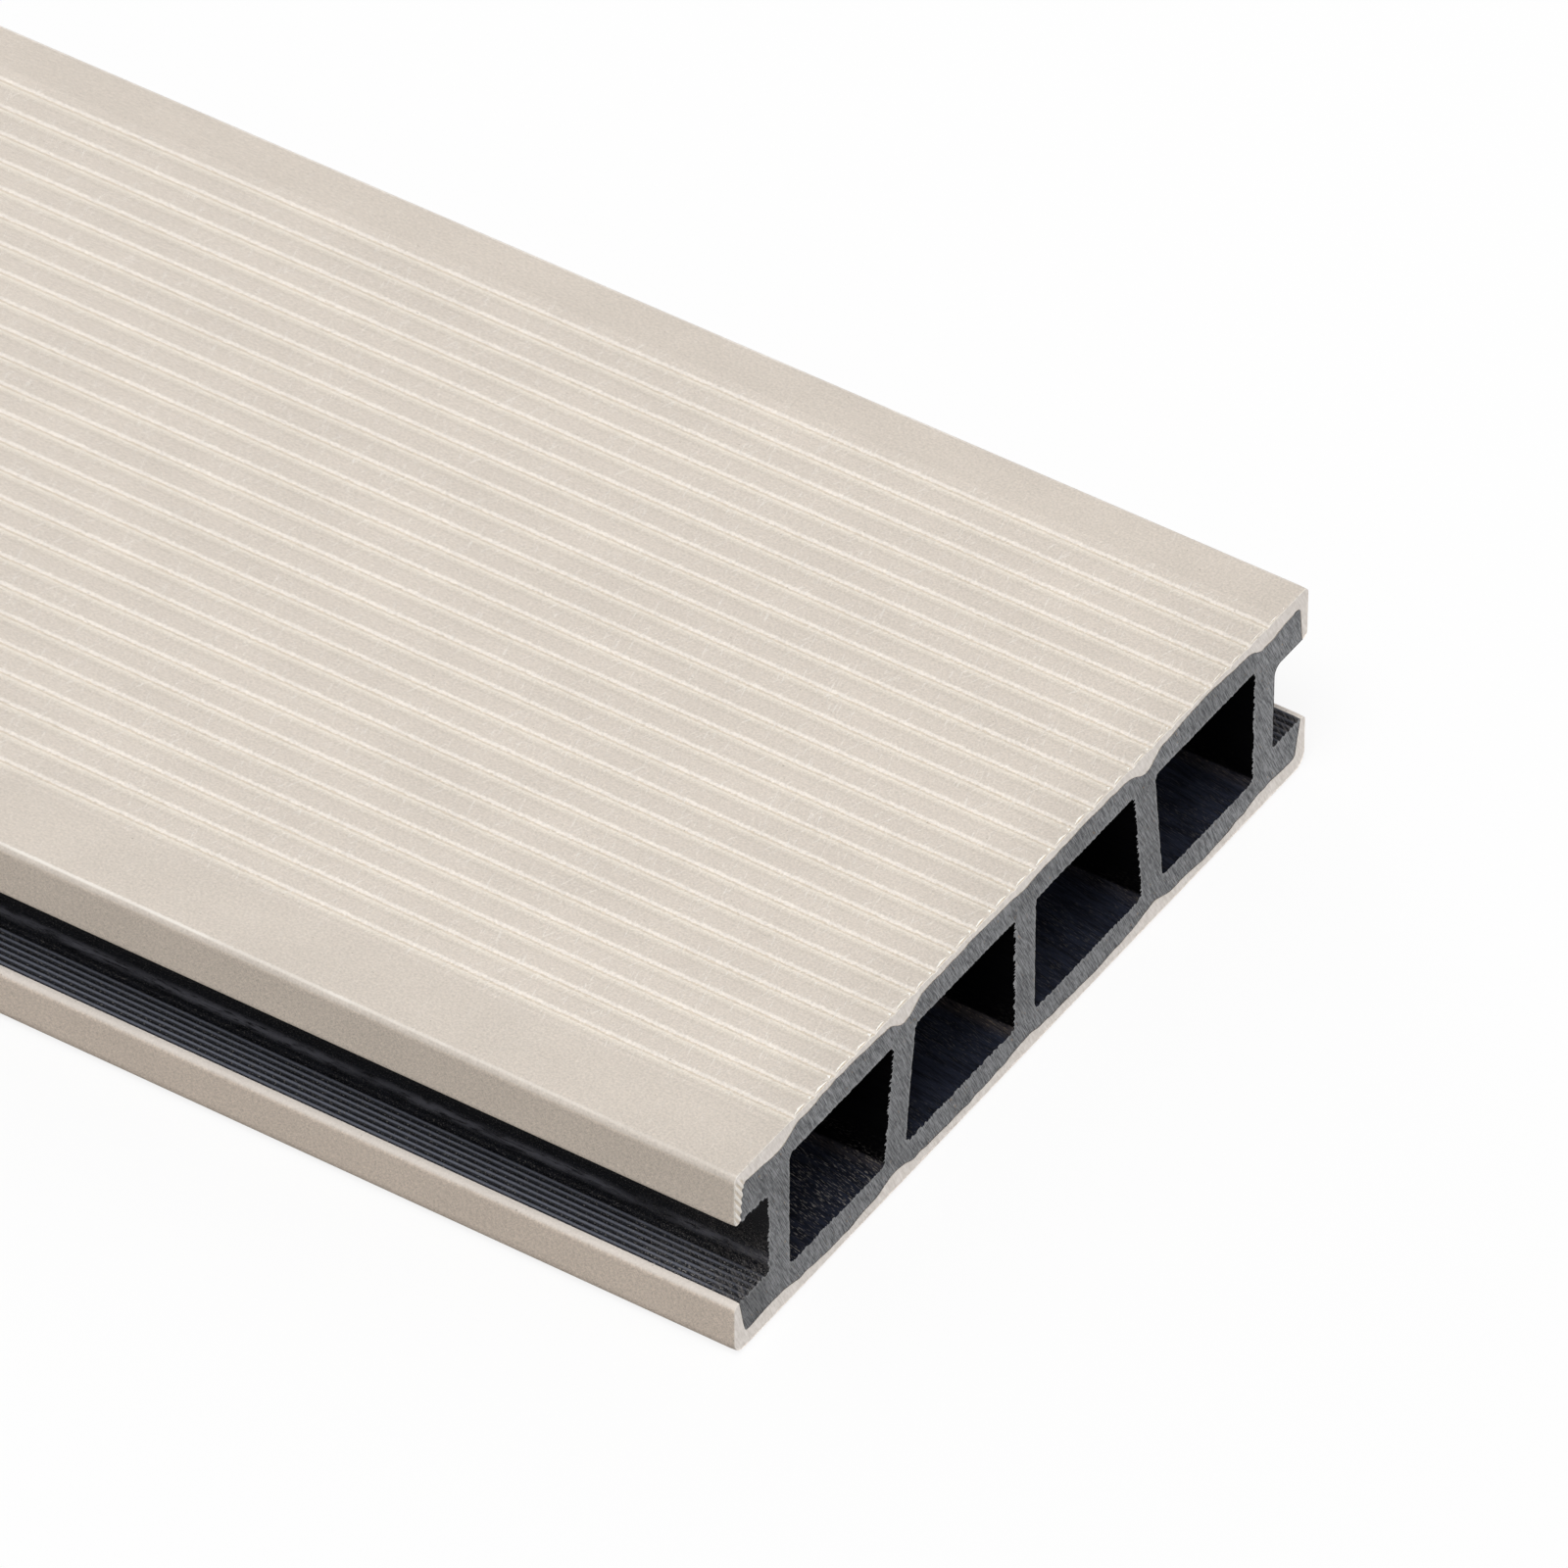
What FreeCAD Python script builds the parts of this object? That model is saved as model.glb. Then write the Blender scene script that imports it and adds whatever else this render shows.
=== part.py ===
"""Hollow capped decking board: one co-extruded plank, sawn to length and lying flat.

The section lies in the YZ plane and runs along X. +Y is towards the back edge, +Z is up, and the
origin is under the middle of the board. All sizes are in millimetres.

The board is a dark ribbed core between two pale caps. The caps are bonded to the core in the die,
so each boundary between them is one shared curve: a cap is thick where the core sank over a web.
"""
import FreeCAD, Part

import math
import os

# Overall size
board_length = 2200.0
board_width = 140.0
board_height = 32.0

# Chambers and webs of the core
top_wall = 6.0
bottom_wall = 6.3
side_web = 5.1
inner_web = 5.3
centre_web = 5.1
inner_web_shift = 0.8
inner_web_lean = 6.5
chamber_corner_radius = 0.8

# Clip groove along each side, between an upper and a lower lip
clip_groove_depth = 8.2
upper_lip = 8.9
lower_lip = 8.8
clip_groove_top_radius = 1.5
clip_groove_floor_radius = 0.4

# Outside edges
top_edge_radius = 1.2
bottom_edge_radius = 2.2
lip_tip_radius = 0.9

# Top cap: its thickness from the middle of the board outwards
top_cap_at_centre_web = 1.8
top_cap_over_inner_chamber = 1.3
top_cap_beside_web = 1.6
top_cap_at_inner_web = 3.6
top_cap_over_outer_chamber = 1.0
top_cap_at_side_web = 3.3
top_cap_at_lip = 2.6
top_swell = 4.5

# Bottom cap, in the same order
bottom_cap_at_centre_web = 2.8
bottom_cap_over_inner_chamber = 1.7
bottom_cap_beside_web = 2.1
bottom_cap_at_inner_web = 3.2
bottom_cap_over_outer_chamber = 1.4
bottom_cap_at_side_web = 3.0
bottom_cap_at_lip = 2.7
bottom_swell = 5.2

# Legs of the caps, which wrap the outer face of each lip
leg_at_tip = 1.3
upper_leg_at_root = 2.0
lower_leg_at_root = 2.6
core_corner_radius = 0.8

# Anti-slip grooves along the top face, set out from the front edge
front_margin = 14.2
back_margin = 10.0
groove_pitch = 4.82
groove_width = 1.7
groove_floor = 0.2
groove_depth = 0.25

# Derived places
half_width = board_width / 2
chamber_floor = bottom_wall
chamber_ceiling = board_height - top_wall
clip_floor = lower_lip
clip_ceiling = board_height - upper_lip
side_web_outside = half_width - clip_groove_depth
side_web_inside = side_web_outside - side_web
side_web_middle = side_web_outside - side_web / 2
centre_web_half = centre_web / 2
inner_web_half = inner_web / 2
inner_web_middle = (side_web_inside + centre_web_half) / 2 + inner_web_shift
lean_reach = (chamber_ceiling - chamber_floor) / 2 * math.tan(math.radians(inner_web_lean))
inner_web_high = inner_web_middle - lean_reach
inner_web_low = inner_web_middle + lean_reach
flat_at_lip = 2 * core_corner_radius


def section_point(across, up):
    """A point of the section, at the end of the board where it starts."""
    return FreeCAD.Vector(-board_length / 2, across, up)


def corner_arc(before, corner, after, radius):
    """Start, middle and end of the arc that rounds a corner between its two neighbours."""
    back = (before - corner).normalize()
    ahead = (after - corner).normalize()
    half_angle = back.getAngle(ahead) / 2
    reach = radius / math.tan(half_angle)
    inwards = (back + ahead).normalize()
    middle = corner + inwards * (radius / math.sin(half_angle) - radius)
    return corner + back * reach, middle, corner + ahead * reach


def rounded_path(corners):
    """Lines and arcs through (across, up, radius) corners, from the first corner to the last."""
    points = [section_point(across, up) for across, up, radius in corners]
    edges = []
    place = points[0]
    for index in range(1, len(corners) - 1):
        radius = corners[index][2]
        start, middle, finish = corner_arc(*points[index - 1:index + 2], radius)
        edges.append(Part.LineSegment(place, start).toShape())
        if radius > 0:
            edges.append(Part.Arc(start, middle, finish).toShape())
        place = finish
    edges.append(Part.LineSegment(place, points[-1]).toShape())
    return edges


def outline_face(corners):
    """The face inside a closed outline of (across, up, radius) corners."""
    first, second = corners[0], corners[1]
    seam = ((first[0] + second[0]) / 2, (first[1] + second[1]) / 2, 0)
    return Part.Face(Part.Wire(rounded_path([seam, *corners[1:], first, seam])))


def mirrored(corners):
    """The same corners on the other side of the board, in return order."""
    return [(-across, up, radius) for across, up, radius in reversed(corners)]


def wave_edges(stations):
    """Smooth S-shaped curves from station to station, level at each (across, up) station."""
    edges = []
    for (start, low), (finish, high) in zip(stations, stations[1:]):
        third = (finish - start) / 3
        poles = [(start, low), (start + third, low), (finish - third, high), (finish, high)]
        curve = Part.BezierCurve()
        curve.setPoles([section_point(across, up) for across, up in poles])
        edges.append(curve.toShape())
    return edges


def both_sides(stations):
    """Stations of the back half, with the same ones on the front half before them."""
    front = [(-across, up) for across, up in reversed(stations[1:])]
    return front + stations


def top_stations(reach):
    """Height of the boundary under the top cap, from the middle of the board out to a reach."""
    inner_chamber_middle = (centre_web_half + inner_web_high - inner_web_half) / 2
    outer_chamber_middle = (inner_web_high + inner_web_half + side_web_inside) / 2
    thickness = [
        (0, top_cap_at_centre_web),
        (top_swell, top_cap_beside_web),
        (inner_chamber_middle, top_cap_over_inner_chamber),
        (inner_web_high - top_swell, top_cap_beside_web),
        (inner_web_high, top_cap_at_inner_web),
        (inner_web_high + top_swell, top_cap_beside_web),
        (outer_chamber_middle, top_cap_over_outer_chamber),
        (side_web_middle - top_swell, top_cap_beside_web),
        (side_web_middle, top_cap_at_side_web),
        (reach, top_cap_at_lip),
    ]
    return [(across, board_height - cap) for across, cap in thickness]


def bottom_stations(reach):
    """Height of the boundary over the bottom cap, from the middle of the board out to a reach."""
    inner_chamber_middle = (centre_web_half + inner_web_low - inner_web_half) / 2
    outer_chamber_middle = (inner_web_low + inner_web_half + side_web_inside) / 2
    return [
        (0, bottom_cap_at_centre_web),
        (bottom_swell, bottom_cap_beside_web),
        (inner_chamber_middle, bottom_cap_over_inner_chamber),
        (inner_web_low - bottom_swell, bottom_cap_beside_web),
        (inner_web_low, bottom_cap_at_inner_web),
        (inner_web_low + bottom_swell, bottom_cap_beside_web),
        (outer_chamber_middle, bottom_cap_over_outer_chamber),
        (side_web_middle - bottom_swell, bottom_cap_beside_web),
        (side_web_middle, bottom_cap_at_side_web),
        (reach, bottom_cap_at_lip),
    ]


def groove_places():
    """Middles of the anti-slip grooves, counted from the front margin."""
    room = board_width - front_margin - back_margin
    count = math.floor(room / groove_pitch) + 1
    return [front_margin - half_width + index * groove_pitch for index in range(count)]


def groove_face(middle):
    """A shallow trough with sloping walls, which go on as far above the top face as below it."""
    half_floor = groove_floor / 2
    half_opening = groove_width - half_floor
    return outline_face([
        (middle - half_opening, board_height + groove_depth, 0),
        (middle - half_floor, board_height - groove_depth, 0),
        (middle + half_floor, board_height - groove_depth, 0),
        (middle + half_opening, board_height + groove_depth, 0),
    ])


def board_face():
    """The whole section: a plank with a clip groove in each side and fine grooves in its top."""
    back_half = [
        (half_width, 0, bottom_edge_radius),
        (half_width, clip_floor, lip_tip_radius),
        (side_web_outside, clip_floor, clip_groove_floor_radius),
        (side_web_outside, clip_ceiling, clip_groove_top_radius),
        (half_width, clip_ceiling, lip_tip_radius),
        (half_width, board_height, top_edge_radius),
    ]
    plank = outline_face(back_half + mirrored(back_half))
    return plank.cut([groove_face(middle) for middle in groove_places()])


def core_envelope():
    """Everything between the two boundaries and inside the legs, with the chambers still full."""
    top_reach = half_width - upper_leg_at_root
    bottom_reach = half_width - lower_leg_at_root
    tip_reach = half_width - leg_at_tip
    top_height = board_height - top_cap_at_lip
    back_side = [
        (top_reach - flat_at_lip, top_height, 0),
        (top_reach, top_height, core_corner_radius),
        (tip_reach, clip_ceiling, 0),
        (tip_reach, clip_floor, 0),
        (bottom_reach, bottom_cap_at_lip, core_corner_radius),
        (bottom_reach - flat_at_lip, bottom_cap_at_lip, 0),
    ]
    edges = rounded_path(back_side) + rounded_path(mirrored(back_side))
    edges += wave_edges(both_sides(top_stations(top_reach - flat_at_lip)))
    edges += wave_edges(both_sides(bottom_stations(bottom_reach - flat_at_lip)))
    return Part.Face(Part.Wire(Part.sortEdges(edges)[0]))


def chamber_faces():
    """The four chambers: one each side of the centre web, and one outside each inner web."""
    inner = [
        (centre_web_half, chamber_floor, chamber_corner_radius),
        (inner_web_low - inner_web_half, chamber_floor, chamber_corner_radius),
        (inner_web_high - inner_web_half, chamber_ceiling, chamber_corner_radius),
        (centre_web_half, chamber_ceiling, chamber_corner_radius),
    ]
    outer = [
        (inner_web_low + inner_web_half, chamber_floor, chamber_corner_radius),
        (side_web_inside, chamber_floor, chamber_corner_radius),
        (side_web_inside, chamber_ceiling, chamber_corner_radius),
        (inner_web_high + inner_web_half, chamber_ceiling, chamber_corner_radius),
    ]
    outlines = [inner, outer, mirrored(inner), mirrored(outer)]
    return [outline_face(corners) for corners in outlines]


def extruded(face):
    """A section face carried along the whole length of the board."""
    return face.extrude(FreeCAD.Vector(board_length, 0, 0))


section = board_face()
envelope = core_envelope()
core_face = section.common(envelope).cut(chamber_faces()).Faces[0]
bottom_face, top_face = sorted(section.cut(envelope).Faces, key=lambda face: face.CenterOfMass.z)

pieces = {
    "core": extruded(core_face),
    "top_cap": extruded(top_face),
    "bottom_cap": extruded(bottom_face),
}

os.makedirs("parts", exist_ok=True)
for name, solid in pieces.items():
    solid.exportStep(f"parts/{name}.step")
    print(f"{name}: {solid.Volume / 1000:.1f} cm3, valid {solid.isValid()}")
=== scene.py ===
# %% [markdown]
# # A hollow capped decking board
# A board like this is pushed through a die in one go: a dark hollow core and two pale caps come out bonded
# together, the top is grooved and brushed, and a saw cuts the length off. So nearly all of it is one
# section carried along a straight line, and the saw makes the rest. The lesson works the section out as
# arrays, carries it along the board, closes the sawn ends, and then gives every surface its own finish.

import bpy
import numpy as np
from mathutils import Matrix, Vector
from mathutils.geometry import delaunay_2d_cdt


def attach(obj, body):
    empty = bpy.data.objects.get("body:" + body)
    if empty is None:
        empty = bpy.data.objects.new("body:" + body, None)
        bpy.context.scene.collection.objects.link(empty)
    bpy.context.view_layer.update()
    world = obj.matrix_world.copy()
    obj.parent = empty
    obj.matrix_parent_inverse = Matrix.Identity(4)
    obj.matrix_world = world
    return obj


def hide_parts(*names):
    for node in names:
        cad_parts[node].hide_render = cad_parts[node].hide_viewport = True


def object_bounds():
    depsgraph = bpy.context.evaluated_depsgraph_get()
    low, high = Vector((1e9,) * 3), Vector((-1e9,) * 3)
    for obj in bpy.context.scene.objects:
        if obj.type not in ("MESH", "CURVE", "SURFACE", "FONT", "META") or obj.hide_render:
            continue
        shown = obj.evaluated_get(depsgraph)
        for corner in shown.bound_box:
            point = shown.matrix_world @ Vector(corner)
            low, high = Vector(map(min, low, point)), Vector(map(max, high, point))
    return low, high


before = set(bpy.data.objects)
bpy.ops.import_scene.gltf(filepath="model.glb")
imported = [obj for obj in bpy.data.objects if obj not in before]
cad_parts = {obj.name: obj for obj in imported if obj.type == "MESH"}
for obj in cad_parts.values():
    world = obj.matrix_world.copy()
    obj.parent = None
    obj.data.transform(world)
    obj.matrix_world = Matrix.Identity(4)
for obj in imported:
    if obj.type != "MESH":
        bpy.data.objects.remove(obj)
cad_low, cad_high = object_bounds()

MM = 0.001
board_length, board_width, board_height = ((high - low) / MM for low, high in zip(cad_low, cad_high))
half_length, half_width = board_length / 2, board_width / 2
print(f"board {board_length:.1f} x {board_width:.1f} x {board_height:.1f} mm")
print("nodes", sorted(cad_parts))

# %% [markdown]
# ## The view
# The picture was taken from a long way off with a long lens, a little above one sawn end. A camera can be
# dragged into place by eye, but here its direction is written as two angles, and its axes follow from them,
# so that the numbers can be read and changed.

# %% Camera
azimuth, elevation = np.radians((33.469, 41.986))
eye_distance, eye_right, eye_up = 2.3541, -0.032318, 0.036165
level_back = np.array([np.sin(azimuth), -np.cos(azimuth), 0.0])
view_back = level_back * np.cos(elevation) + [0.0, 0.0, np.sin(elevation)]
view_right = np.array([np.cos(azimuth), np.sin(azimuth), 0.0])
view_up = np.cross(view_back, view_right)
board_end = np.array([half_length * MM, 0.0, 0.0])
eye = board_end + eye_distance * view_back + eye_right * view_right + eye_up * view_up


def placed(name, data):
    """A new object in the scene that carries the data."""
    made = bpy.data.objects.new(name, data)
    bpy.context.collection.objects.link(made)
    return made


def standing(right, up, back, at=(0.0, 0.0, 0.0)):
    """The matrix of an object: its three axes and its place, column by column."""
    columns = np.eye(4)
    columns[:3] = np.column_stack([right, up, back, at])
    return Matrix(columns.tolist())


camera = placed("camera", bpy.data.cameras.new("camera"))
camera.data.sensor_width = 36.0
camera.data.lens = 405.0
camera.data.clip_end = 100.0
camera.matrix_world = standing(view_right, view_up, view_back, eye)
bpy.context.scene.camera = camera
print("camera at", np.round(eye, 3))

# %% [markdown]
# ## Paths of the section
# The die's outline is made of straight runs with rounded corners. A Bevel modifier could round them, but a
# corner arc is one short formula, and as an array it can be cut into steps as fine as each edge needs.

# %% Rounded corners
def unit(vectors):
    """Each row divided by its own length."""
    return vectors / np.linalg.norm(vectors, axis=-1, keepdims=True)


def rounded(corners, steps=6):
    """A path through (across, up, radius) corners, rounded where the radius isn't nought.

    The middle of an arc is radius / sin(half the corner's angle) from the corner, along the bisector. Its
    points turn evenly from one touching point to the other: the two radii are blended by the sines of the
    angle that is still to go and of the angle that is behind.
    """
    corners = np.asarray(corners, float)
    place, radius = corners[:, :2], corners[1:-1, 2, None]
    back = unit(place[:-2] - place[1:-1])
    ahead = unit(place[2:] - place[1:-1])
    half_angle = np.arccos(np.sum(back * ahead, axis=1, keepdims=True)) / 2
    middle = place[1:-1] + unit(back + ahead) * radius / np.sin(half_angle)
    touch = radius / np.tan(half_angle)
    start = (place[1:-1] + back * touch - middle)[:, None]
    finish = (place[1:-1] + ahead * touch - middle)[:, None]
    turn = np.pi - 2 * half_angle[:, None]
    t = np.linspace(0, 1, steps + 1)[None, :, None]
    arc = (np.sin((1 - t) * turn) * start + np.sin(t * turn) * finish) / np.sin(turn)
    path = np.vstack([place[:1], (middle[:, None] + arc).reshape(-1, 2), place[-1:]])
    moved = np.linalg.norm(np.diff(path, axis=0), axis=1) > 1e-6
    return path[np.r_[True, moved]]


def closed(corners, radius):
    """A closed outline whose corners share one radius, and which starts half way between the first two."""
    corners = np.column_stack([corners, np.full(len(corners), radius)])
    seam = np.append(corners[:2, :2].mean(axis=0), 0.0)
    return rounded(np.vstack([seam, corners[1:], corners[:1], seam]))[:-1]


corner_test = rounded([(0, 0, 0), (10, 0, 2), (10, 10, 0)])
print("a corner becomes", len(corner_test), "points")

# %% Runs of a path
def divided(path, spacing):
    """The same path with every run cut into equal steps no longer than the spacing."""
    run = np.diff(path, axis=0)
    count = np.maximum(1, np.ceil(np.linalg.norm(run[:, :2], axis=1) / spacing)).astype(int)
    index = np.repeat(np.arange(len(run)), count)
    step = np.arange(count.sum()) - np.repeat(np.cumsum(count) - count, count)
    return np.vstack([path[index] + run[index] * (step / count[index])[:, None], path[-1:]])


def mirrored(path):
    """The same path on the other side of the board, in return order."""
    return path[::-1] * np.array([-1.0] + [1.0] * (path.shape[1] - 1))


def tagged(path, skin):
    """The path with a third column: 1 where it is open skin, 0 where it is bonded to another layer."""
    return np.column_stack([path, np.full(len(path), skin)])


print("in steps of 0.5 mm it has", len(divided(corner_test, 0.5)), "points")

# %% [markdown]
# ## The wavy bond between core and cap
# In the die the core sinks a little over each web, so the cap is thick there and thin over the chambers.
# The boundary could be a freehand curve. Here it passes through stations and is level at each of them, so
# the blend from one to the next is the smooth step 3t^2 - 2t^3. Low random hills make it a little uneven.

# %% Sizes of the section
top_wall, bottom_wall, clip_groove_depth = 6.0, 6.3, 8.2
upper_lip_height, lower_lip_height = 8.9, 8.8
side_web, inner_web, centre_web = 5.1, 5.3, 5.1
inner_web_shift, inner_web_lean = 0.8, np.radians(6.5)
upper_leg_root, lower_leg_root, leg_tip = 2.0, 2.6, 1.3
top_cap_at_lip, bottom_cap_at_lip = 2.6, 2.7
core_corner = 0.8
flat_at_lip = 2 * core_corner

chamber_floor, chamber_ceiling = bottom_wall, board_height - top_wall
clip_floor, clip_ceiling = lower_lip_height, board_height - upper_lip_height
side_web_outside = half_width - clip_groove_depth
side_web_inside = side_web_outside - side_web
side_web_middle = side_web_outside - side_web / 2
centre_web_half, inner_web_half = centre_web / 2, inner_web / 2
inner_web_middle = (side_web_inside + centre_web_half) / 2 + inner_web_shift
lean_reach = (chamber_ceiling - chamber_floor) / 2 * np.tan(inner_web_lean)
inner_web_high, inner_web_low = inner_web_middle - lean_reach, inner_web_middle + lean_reach
top_reach, bottom_reach = half_width - upper_leg_root, half_width - lower_leg_root
tip_reach = half_width - leg_tip
top_at_lip, bottom_at_lip = board_height - top_cap_at_lip, bottom_cap_at_lip
print(f"inner web at {inner_web_high:.2f} mm at its top and {inner_web_low:.2f} mm at its foot")

# %% Smooth steps and hills
lattice = 128


def smooth(t):
    """The smooth step 3t^2 - 2t^3, held at 0 and 1 outside them."""
    t = np.clip(t, 0, 1)
    return t * t * (3 - 2 * t)


def hills(u, v, seed):
    """Smooth random hills from 0 to 1: random heights at whole numbers, joined by smooth steps."""
    heights = np.random.default_rng(seed).random((lattice, lattice))
    column, row = np.floor(u).astype(int), np.floor(v).astype(int)
    s, t = smooth(u - column), smooth(v - row)
    left, right = column % lattice, (column + 1) % lattice
    low, high = row % lattice, (row + 1) % lattice
    near = heights[low, left] * (1 - s) + heights[low, right] * s
    far = heights[high, left] * (1 - s) + heights[high, right] * s
    return near * (1 - t) + far * t


print("hills along a line:", np.round(hills(np.arange(0, 2, 0.5), np.zeros(4), 1), 2))

# %% Bond lines
def bond_line(web, swell, thickness, reach, seed, spacing=0.3):
    """Points (across, cap thickness) from one lip to the other.

    The thickness goes from station to station by smooth steps. Hills 0.3 mm high and 1.7 mm long, which die
    out over the last 3 mm, make it a little uneven.
    """
    inner_middle = (centre_web_half + web - inner_web_half) / 2
    outer_middle = (web + inner_web_half + side_web_inside) / 2
    stations = np.array([
        0, swell, inner_middle, web - swell, web, web + swell,
        outer_middle, side_web_middle - swell, side_web_middle, reach,
    ])
    thickness = np.asarray(thickness)
    across = np.linspace(-reach, reach, int(2 * reach / spacing) | 1)
    out = np.abs(across)
    segment = np.clip(np.searchsorted(stations, out, side="right") - 1, 0, len(stations) - 2)
    t = (out - stations[segment]) / (stations[segment + 1] - stations[segment])
    even = thickness[segment] + (thickness[segment + 1] - thickness[segment]) * smooth(t)
    uneven = 0.3 * (hills(across / 1.7, 0 * across, seed) - 0.5) * smooth((reach - out) / 3)
    return np.column_stack([across, even + uneven])


top_swell, bottom_swell = 4.5, 5.2
top_thickness = [1.8, 1.6, 1.3, 1.6, 3.6, 1.6, 1.0, 1.6, 3.3, top_cap_at_lip]
bottom_thickness = [2.8, 2.1, 1.7, 2.1, 3.2, 2.1, 1.4, 2.1, 3.0, bottom_cap_at_lip]
top_bond = bond_line(inner_web_high, top_swell, top_thickness, top_reach - flat_at_lip, seed=51)
top_bond[:, 1] = board_height - top_bond[:, 1]
bottom_bond = bond_line(inner_web_low, bottom_swell, bottom_thickness, bottom_reach - flat_at_lip, seed=53)
print("cap over a chamber", round(board_height - top_bond[:, 1].max(), 2), "mm")

# %% [markdown]
# ## The grooved top and the ribbed clip grooves
# Twenty-five shallow anti-slip grooves run along the walking face, and six low ribs along the floor of each
# clip groove. They could be cut with a Boolean, one by one. As a height that depends only on the distance to
# the nearest groove or rib, all of them come from one line.

# %% Grooves and ribs
front_margin, groove_pitch, groove_count = 14.2, 4.82, 25
groove_depth, groove_rim, groove_wall = 0.25, 0.92, 0.88
first_groove = front_margin - half_width
rib_first, rib_pitch, rib_count, rib_height = 63.05, 1.06, 6, 0.36
top_edge, top_points = 1.2, 1240


def groove_cut(across):
    """Depth of the top at each place: a smooth step from the nearest groove's rim down to its floor."""
    nearest = np.clip(np.round((across - first_groove) / groove_pitch), 0, groove_count - 1)
    distance = np.abs(across - first_groove - nearest * groove_pitch)
    return groove_depth * smooth((groove_rim - distance) / groove_wall)


def rib_rise(across):
    """Height of the ribs on a clip groove's floor: a raised cosine to each pitch, level outside them."""
    turns = (np.abs(across) - rib_first) / rib_pitch
    ribbed = (turns > -0.5) & (turns < rib_count - 0.5)
    return np.where(ribbed, rib_height * (0.5 + 0.5 * np.cos(2 * np.pi * turns)), 0.0)


top_across = np.linspace(half_width - top_edge, top_edge - half_width, top_points)
top_skin = np.column_stack([top_across, board_height - groove_cut(top_across)])
print(groove_count, "grooves, last at", round(first_groove + (groove_count - 1) * groove_pitch, 2), "mm")

# %% [markdown]
# ## Three outlines
# Each layer is a closed loop of points, walked with the material on its left. The caps have their open skin
# on one side and the bond on the other. The core has both bonds, the two clip grooves in its sides, and four
# chambers, which are walked the other way round because they are holes. Curves drawn by hand would leave
# gaps between the layers. Here neighbours share the same points along each bond.

# %% Lips, legs and clip groove
lip_tip, bottom_edge, clip_floor_radius, clip_ceiling_radius = 0.9, 2.2, 0.4, 1.5
clip_spacing = 0.12
upper_lip = rounded([
    (tip_reach, clip_ceiling, 0),
    (half_width, clip_ceiling, lip_tip),
    (half_width, board_height, top_edge),
    (half_width - top_edge, board_height, 0),
])
lower_lip = rounded([
    (half_width - bottom_edge, 0, 0),
    (half_width, 0, bottom_edge),
    (half_width, clip_floor, lip_tip),
    (tip_reach, clip_floor, 0),
])
upper_leg = rounded([
    (tip_reach, clip_ceiling, 0),
    (top_reach, top_at_lip, core_corner),
    (top_reach - flat_at_lip, top_at_lip, 0),
])
lower_leg = rounded([
    (bottom_reach - flat_at_lip, bottom_at_lip, 0),
    (bottom_reach, bottom_at_lip, core_corner),
    (tip_reach, clip_floor, 0),
])
clip_groove = divided(rounded([
    (tip_reach, clip_floor, 0),
    (side_web_outside, clip_floor, clip_floor_radius),
    (side_web_outside, clip_ceiling, clip_ceiling_radius),
    (tip_reach, clip_ceiling, 0),
]), clip_spacing)
on_clip_floor = np.abs(clip_groove[:, 1] - clip_floor) < 1e-6
clip_groove[:, 1] += np.where(on_clip_floor, rib_rise(clip_groove[:, 0]), 0)
print("clip groove of", len(clip_groove), "points")

# %% Outlines of the layers
fine = 0.25


def loop_of(*runs):
    """Runs joined end to end into one closed loop, without the points that repeat."""
    path = np.vstack(runs)
    following = np.roll(path, -1, axis=0)
    return path[np.linalg.norm((following - path)[:, :2], axis=1) > 1e-6]


def skin_run(path):
    """A run of open skin, in fine steps."""
    return tagged(divided(path, fine), 1)


def bond_run(path):
    """A run that is bonded to the next layer, in fine steps."""
    return tagged(divided(path, fine), 0)


top_outline = loop_of(
    skin_run(upper_lip), tagged(top_skin, 1), skin_run(mirrored(upper_lip)),
    bond_run(mirrored(upper_leg)[::-1]), tagged(top_bond, 0), bond_run(upper_leg[::-1]),
)
bottom_outline = loop_of(
    skin_run(mirrored(lower_lip)), skin_run(lower_lip),
    bond_run(lower_leg[::-1]), tagged(bottom_bond[::-1], 0), bond_run(mirrored(lower_leg)[::-1]),
)
back_side = np.vstack([bond_run(lower_leg), tagged(clip_groove, 1), bond_run(upper_leg)])
core_outline = loop_of(tagged(bottom_bond, 0), back_side, tagged(top_bond[::-1], 0), mirrored(back_side))
print("core outline of", len(core_outline), "points")

# %% Chambers
chamber_corner, chamber_spacing = 0.8, 0.11
inner_chamber = closed([
    (centre_web_half, chamber_floor),
    (centre_web_half, chamber_ceiling),
    (inner_web_high - inner_web_half, chamber_ceiling),
    (inner_web_low - inner_web_half, chamber_floor),
], chamber_corner)
outer_chamber = closed([
    (inner_web_low + inner_web_half, chamber_floor),
    (inner_web_high + inner_web_half, chamber_ceiling),
    (side_web_inside, chamber_ceiling),
    (side_web_inside, chamber_floor),
], chamber_corner)


def hole(outline):
    """A chamber's outline in fine steps, all of it open skin."""
    return tagged(divided(np.vstack([outline, outline[:1]]), chamber_spacing)[:-1], 1)


back_chambers = [inner_chamber, outer_chamber]
front_chambers = [mirrored(outline) for outline in back_chambers]
chambers = [hole(outline) for outline in back_chambers + front_chambers]
print(len(chambers), "chambers of", [len(chamber) for chamber in chambers], "points")

# %% [markdown]
# ## What the saw leaves
# A coarse saw blade drags slanted ridges over the cut, and tears fine fuzz round the edges of the chambers.
# This could be left to a bump, but a bump stays flat in outline. A little real relief, from smooth random
# hills and slanted waves, also shows along the edges. The cut lies a hair inside the full length, so that
# nothing stands past it.

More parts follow.
